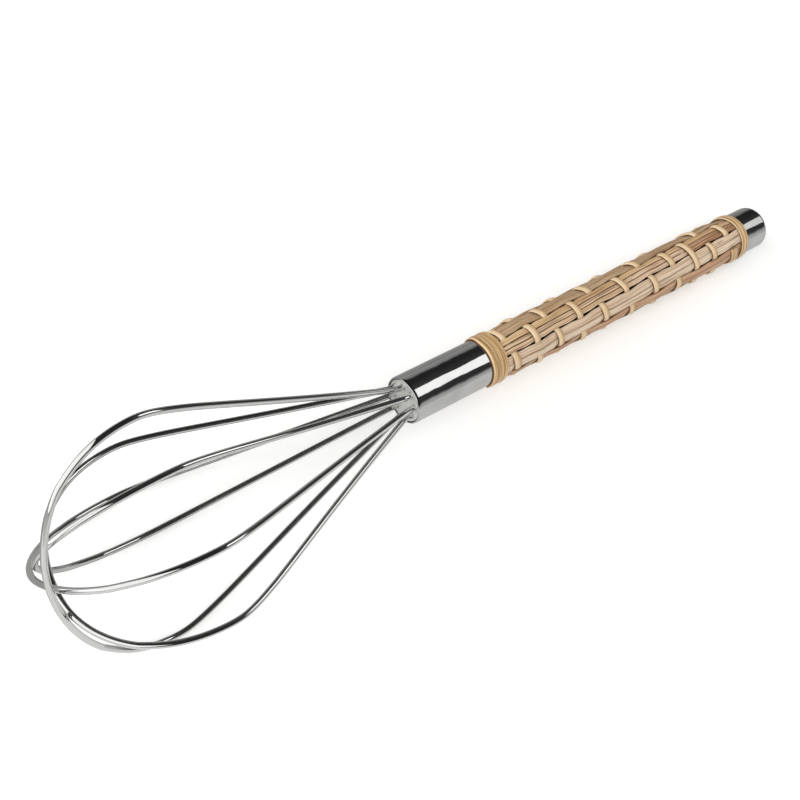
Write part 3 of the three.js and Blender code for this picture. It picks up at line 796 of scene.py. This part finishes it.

# Cane skin: golden and glossy, paler along the shoulders of its edges, with faint lines along it and a few
# small reddish flecks. One or two split lines run along the strip. Its sides and the bottoms of its split
# lines are darkened with painted shade, where it meets the steel and its next turn.
SKIN_FIBRE = (22 * MM, 0.38 * MM)
SKIN_FLECK = (1.6 * MM, 0.8 * MM)
skin = bpy.data.materials.new("golden_cane_skin")
skin.use_nodes = True
tree = skin.node_tree
shader = tree.nodes["Principled BSDF"]
lengths = add_node(tree, "Attribute", {"attribute_name": "grain"})
edge_share = add_node(tree, "Attribute", {"attribute_name": "edge"})
fibre_scale = add_node(tree, "Mapping", {"Scale": (1 / SKIN_FIBRE[0], 1 / SKIN_FIBRE[1], 60)},
                       {"Vector": lengths.outputs["Vector"]})
fibres = add_node(tree, "TexNoise", {"Scale": 1.0, "Detail": 3.0}, {"Vector": fibre_scale.outputs["Vector"]})
fibre_tone = add_node(tree, "ValToRGB", {}, {"Fac": fibres.outputs["Fac"]})
colour_stops(fibre_tone, {0.34: "#683f1e", 0.43: "#b0824b", 0.55: "#d9b27a", 0.68: "#f3deba"})
fleck_scale = add_node(tree, "Mapping", {"Scale": (1 / SKIN_FLECK[0], 1 / SKIN_FLECK[1], 20)},
                       {"Vector": lengths.outputs["Vector"]})
flecks = add_node(tree, "TexNoise", {"Scale": 1.0, "Detail": 2.0}, {"Vector": fleck_scale.outputs["Vector"]})
fleck_mask = add_node(tree, "MapRange", {"From Min": 0.68, "From Max": 0.8, "To Max": 0.5},
                      {"Value": flecks.outputs["Fac"]})
flecked = add_node(tree, "MixRGB", {"Color2": linear("#96643f")},
                   {"Fac": fleck_mask.outputs["Result"], 1: fibre_tone.outputs["Color"]})
pale_edge = add_node(tree, "ValToRGB", {}, {"Fac": edge_share.outputs["Fac"]})
colour_stops(pale_edge, {0.1: "#000000", 0.5: "#d0d0d0", 0.8: "#606060", 1.0: "#000000"})
paled = add_node(tree, "MixRGB", {"Color2": linear("#f2dcb6")},
                 {"Fac": pale_edge.outputs["Color"], 1: flecked.outputs["Color"]})
# Painted shade: the strip's sides and the bottoms of its split lines are darkened.
edge_shade_mask = add_node(tree, "MapRange", {"From Min": 0.8, "From Max": 1.0, "To Max": 0.75},
                     {"Value": edge_share.outputs["Fac"]})
edge_shaded = add_node(tree, "MixRGB", {"Color2": linear("#5c3d20")},
                 {"Fac": edge_shade_mask.outputs["Result"], 1: paled.outputs["Color"]})
shine = add_node(tree, "MapRange", {"To Min": 0.42, "To Max": 0.28}, {"Value": fibres.outputs["Fac"]})
ridges = add_node(tree, "Bump", {"Strength": 0.4, "Distance": 0.04 * MM}, {"Height": fibres.outputs["Fac"]})
tree.links.new(edge_shaded.outputs["Color"], shader.inputs["Base Color"])
tree.links.new(shine.outputs["Result"], shader.inputs["Roughness"])
tree.links.new(ridges.outputs["Normal"], shader.inputs["Normal"])

# Each binding: its width, its split lines and its path in degrees round and millimetres from the mouth
BINDINGS = (
    ("head_binding", 3.2, (-0.4, -0.02), (
        (-556, 38.6), (-430, 36.6), (-405, 35.94), (-270, 35.94),
        (-200, 35.3), (-70, 33.3), (-45, 32.61), (92, 32.61),
    )),
    ("tail_binding", 3.6, (0.35,), ((30, 153.04), (80, 155.98), (180, 158.64), (270, 159.8), (450, 159.8))),
)
for node, width, grooves, path in BINDINGS:
    stations = []
    for azimuth in range(path[0][0], path[-1][0] + 1, BINDING_STEP):
        start, end = next((a, b) for a, b in zip(path, path[1:]) if azimuth <= b[0])
        share = (azimuth - start[0]) / (end[0] - start[0])
        stations.append((-start[1] - (end[1] - start[1]) * share, azimuth, BINDING_INNER, width))
    section = strip_section(BINDING_THICKNESS, BINDING_CROWN, BINDING_EDGE, grooves, BINDING_SPLIT_SPREAD)
    wound = cane_strip("cane_" + node, stations, section, False, ((0, 0.7),), skin)
    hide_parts(node)


# Table: a plain white sheet, wide enough to fill the view and to show as the pale ground in the steel.
# It is topped up to white for the eye, and before the whisk for the steel too. Behind the whisk it is painted
# darker for the steel only, painted shade for the ground lying in the whisk's shade there. The whisk's own
# shadow stays on it.
TABLE_HALF = 1.1
TOP_UP = 0.28
sheet_corners = [(x * TABLE_HALF, y * TABLE_HALF, 0) for x, y in ((-1, -1), (1, -1), (1, 1), (-1, 1))]
sheet_mesh = bpy.data.meshes.new("white_table")
sheet_mesh.from_pydata(sheet_corners, [], [(0, 1, 2, 3)])
table = bpy.data.objects.new("white_table", sheet_mesh)
bpy.context.scene.collection.objects.link(table)
paper = bpy.data.materials.new("matt_white_paper")
paper.use_nodes = True
tree = paper.node_tree
shader = tree.nodes["Principled BSDF"]
shader.inputs["Roughness"].default_value = 0.95
shader.inputs["Specular IOR Level"].default_value = 0.0
rays = add_node(tree, "LightPath")
spot = add_node(tree, "NewGeometry")
across = add_node(tree, "SeparateXYZ", {}, {"Vector": spot.outputs["Position"]})
# Painted shade: for the steel only, the ground behind the whisk is painted darker.
behind = add_node(tree, "MapRange", {"From Min": -0.02, "From Max": 0.02, "To Min": 1.0, "To Max": 0.0},
                  {"Value": across.outputs["Y"]})
shaded = add_node(tree, "Math", {"operation": "MULTIPLY"},
                  {0: rays.outputs["Is Glossy Ray"], 1: behind.outputs["Result"]})
paper_and_painted_shade = add_node(tree, "MixRGB", {1: linear("#f1f1ef"), 2: linear("#bcbcba")},
                      {"Fac": shaded.outputs["Value"]})
tree.links.new(paper_and_painted_shade.outputs["Color"], shader.inputs["Base Color"])
in_front = add_node(tree, "Math", {"operation": "SUBTRACT"},
                    {0: rays.outputs["Is Glossy Ray"], 1: shaded.outputs["Value"]})
seen = add_node(tree, "Math", {"operation": "MAXIMUM"},
                {0: rays.outputs["Is Camera Ray"], 1: in_front.outputs["Value"]})
seen_through = add_node(tree, "Math", {"operation": "MAXIMUM"},
                        {0: seen.outputs["Value"], 1: rays.outputs["Is Transmission Ray"]})
top_up = add_node(tree, "Math", {"operation": "MULTIPLY", 1: TOP_UP}, {0: seen_through.outputs["Value"]})
glow = add_node(tree, "Emission", {"Color": (1, 1, 1, 1)}, {"Strength": top_up.outputs["Value"]})
both = add_node(tree, "AddShader", {}, {0: shader.outputs["BSDF"], 1: glow.outputs["Emission"]})
tree.links.new(both.outputs["Shader"], tree.nodes["Material Output"].inputs["Surface"])
sheet_mesh.materials.append(paper)


# Studio: a pale room up to about 15 degrees above the table and a dim ceiling over it, which the steel
# shows as its light and dark bands. The room is dimmer behind the whisk. Its ceiling is darker overhead and
# toward the tip than toward the tail, where it comes lower. To the eye the room is white.
ROOM_FILL = 0.28
world = bpy.data.worlds.new("studio_room")
bpy.context.scene.world = world
world.use_nodes = True
tree = world.node_tree
fill = tree.nodes["Background"]
fill.inputs["Color"].default_value = (1, 1, 1, 1)
fill.inputs["Strength"].default_value = ROOM_FILL
rays = add_node(tree, "LightPath")
heading = add_node(tree, "TexCoord")
height = add_node(tree, "SeparateXYZ", {}, {"Vector": heading.outputs["Generated"]})
lean = add_node(tree, "Math", {"operation": "MULTIPLY_ADD", 1: 0.1},
                {0: height.outputs["Y"], 2: height.outputs["Z"]})
tailward = add_node(tree, "MapRange", {"From Min": -0.62, "From Max": -0.78}, {"Value": height.outputs["X"]})
dark_lift = add_node(tree, "Math", {"operation": "MULTIPLY_ADD", 1: -0.2, 2: 0.17}, {0: height.outputs["Y"]})
dark_height = add_node(tree, "Math", {"operation": "MULTIPLY_ADD"},
                       {0: tailward.outputs["Result"], 1: dark_lift.outputs["Value"],
                        2: lean.outputs["Value"]})
room = add_node(tree, "ValToRGB", {}, {"Fac": dark_height.outputs["Value"]})
colour_stops(room, {0.0: "#ffffff", 0.26: "#e0e0e0", 0.36: "#8a8a8a", 0.42: "#484848", 0.62: "#484848",
                    0.85: "#5a5a5a"})
nearness = add_node(tree, "MapRange", {"From Min": -0.5, "From Max": 0.3, "To Min": 0.6, "To Max": 1.0},
                    {"Value": height.outputs["Y"]})
upward = add_node(tree, "MapRange", {"From Min": 0.3, "From Max": 0.45, "To Min": 0.0, "To Max": 0.6},
                  {"Value": lean.outputs["Value"]})
tipward = add_node(tree, "MapRange", {"From Min": -0.5, "From Max": -0.3}, {"Value": height.outputs["X"]})
ceiling_dim = add_node(tree, "Math", {"operation": "MULTIPLY"},
                       {0: upward.outputs["Result"], 1: tipward.outputs["Result"]})
ceiling_share = add_node(tree, "Math", {"operation": "SUBTRACT", 0: 1.0}, {1: ceiling_dim.outputs["Value"]})
room_light = add_node(tree, "Math", {"operation": "MULTIPLY"},
                      {0: nearness.outputs["Result"], 1: ceiling_share.outputs["Value"]})
seen_room = add_node(tree, "Background", {},
                     {"Color": room.outputs["Color"], "Strength": room_light.outputs["Value"]})
white_room = add_node(tree, "Background", {"Color": (1, 1, 1, 1), "Strength": 1.0})
with_steel = add_node(tree, "MixShader", {},
                      {0: rays.outputs["Is Glossy Ray"], 1: fill.outputs["Background"],
                       2: seen_room.outputs["Background"]})
with_eye = add_node(tree, "MixShader", {},
                    {0: rays.outputs["Is Camera Ray"], 1: with_steel.outputs["Shader"],
                     2: white_room.outputs["Background"]})
tree.links.new(with_eye.outputs["Shader"], tree.nodes["World Output"].inputs["Surface"])


# Lamps: a softbox over the handle, which the polished tube shows as a streak by the mouth, and a small one
# close to the tail for the streak there. The wires by the mouth show the dark between the two.
# A wide window stands past the tip, and a fill overhead lights the cane without showing in the steel.
def soft_box(name, facing, shift, distance, across, length, watts, in_steel):
    """A rectangular softbox with its length along the whisk, facing it from a distance in metres.

    It is aimed at the mouth, or at a place that is shifted along the axis from there, also in metres."""
    lamp = bpy.data.lights.new(name, "AREA")
    lamp.shape = "RECTANGLE"
    lamp.size = length
    lamp.size_y = across
    lamp.energy = watts
    holder = bpy.data.objects.new(name, lamp)
    bpy.context.scene.collection.objects.link(holder)
    back = facing.normalized()
    length_way = (along - back * along.dot(back)).normalized()
    turn = Matrix((length_way, back.cross(length_way), back)).transposed().to_4x4()
    holder.matrix_world = Matrix.Translation(mouth + back * distance + along * shift) @ turn
    holder.visible_camera = False
    holder.visible_glossy = in_steel


strip_tilt = math.radians(20.0)
strip_back = math.radians(39.5)
strip_facing = (upright * math.cos(strip_tilt) + level * math.sin(strip_tilt)) * math.cos(strip_back)
soft_box(
    "handle_softbox", strip_facing - along * math.sin(strip_back),
    shift=0.2, distance=1.34, across=0.69, length=0.5, watts=2.47, in_steel=True,
)
soft_box(
    "tail_softbox", along * -0.75 + upright * 0.65 + level * 0.15,
    shift=-0.162, distance=0.16, across=0.06, length=0.05, watts=0.0145, in_steel=True,
)
soft_box(
    "overhead_fill", along * 0.1 + upright * 0.87 + level * 0.45,
    shift=0.0, distance=1.1, across=0.8, length=0.8, watts=1.5, in_steel=False,
)
soft_box(
    "tip_window", along * 0.8 + upright * 0.58 - level * 0.12,
    shift=0.0, distance=1.04, across=3.0, length=1.2, watts=20.0, in_steel=True,
)


# Camera: the photograph's own angle, 56 degrees above the table, with a 51 mm lens.
SENSOR_WIDTH = 36.0
FOCAL_PIXELS = 1143.5
PICTURE_PIXELS = 800
camera_data = bpy.data.cameras.new("photo_camera")
camera_data.sensor_width = SENSOR_WIDTH
camera_data.lens = SENSOR_WIDTH * FOCAL_PIXELS / PICTURE_PIXELS
camera_data.clip_start = 0.01
camera = bpy.data.objects.new("photo_camera", camera_data)
bpy.context.scene.collection.objects.link(camera)
right = Vector((-0.7914, 0.5885, 0.1656))
up = Vector((-0.4306, -0.7288, 0.5324))
ahead = Vector((-0.4340, -0.3500, -0.8302))
eye = Vector((0.1818039, 0.1223581, 0.3184145))
camera.matrix_world = Matrix.Translation(eye) @ Matrix((right, up, -ahead)).transposed().to_4x4()
bpy.context.scene.camera = camera
bpy.context.scene.view_settings.view_transform = "Standard"
